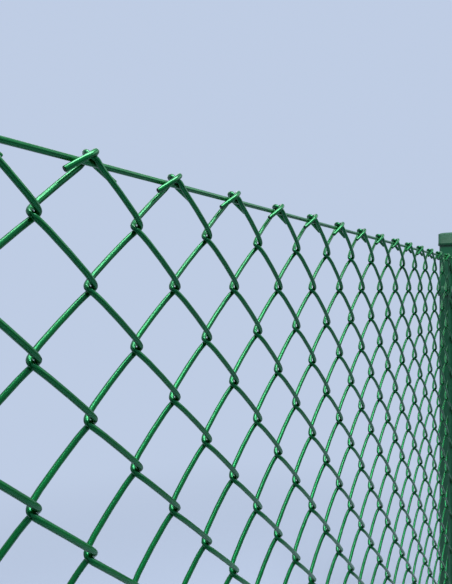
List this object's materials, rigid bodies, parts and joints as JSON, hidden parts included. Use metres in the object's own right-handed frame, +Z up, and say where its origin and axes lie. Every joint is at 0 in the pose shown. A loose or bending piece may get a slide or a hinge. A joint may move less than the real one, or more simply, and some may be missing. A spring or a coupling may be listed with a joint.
{
  "type": "chain-link fence bay",
  "caption": "Short bay of green coated woven chain-link fence between two steel end posts on foot plates, with line wires through its hooked selvages.",
  "frame": {"origin": "middle of the underside of the left post's foot plate", "axes": "+X along the fence to the right post, +Z up, -Y towards the front"},
  "size_m": [1.2936, 0.15, 0.8691],
  "materials": {
    "coated_wire": "glossy",
    "post_coating": "satin",
    "bar_coating": "satin",
    "cap_plastic": "satin",
    "zinc_steel": "satin"
  },
  "bodies": {
    "root": {"picket_01": "coated_wire", "picket_02": "coated_wire", "picket_03": "coated_wire", "picket_04": "coated_wire", "picket_05": "coated_wire", "picket_06": "coated_wire", "picket_07": "coated_wire", "picket_08": "coated_wire", "picket_09": "coated_wire", "picket_10": "coated_wire", "picket_11": "coated_wire", "picket_12": "coated_wire", "picket_13": "coated_wire", "picket_14": "coated_wire", "picket_15": "coated_wire", "picket_16": "coated_wire", "picket_17": "coated_wire", "picket_18": "coated_wire", "picket_19": "coated_wire", "picket_20": "coated_wire", "picket_21": "coated_wire", "picket_22": "coated_wire", "picket_23": "coated_wire", "picket_24": "coated_wire", "picket_25": "coated_wire", "picket_26": "coated_wire", "picket_27": "coated_wire", "picket_28": "coated_wire", "picket_29": "coated_wire", "picket_30": "coated_wire", "line_wire_top": "coated_wire", "line_wire_bottom": "coated_wire", "post_left": "post_coating", "stretcher_bar_left": "bar_coating", "post_right": "post_coating", "stretcher_bar_right": "bar_coating", "foot_plates": "post_coating", "post_caps": "cap_plastic", "tension_bands": "bar_coating", "band_bolts": "zinc_steel"}
  },
  "joints": []
}
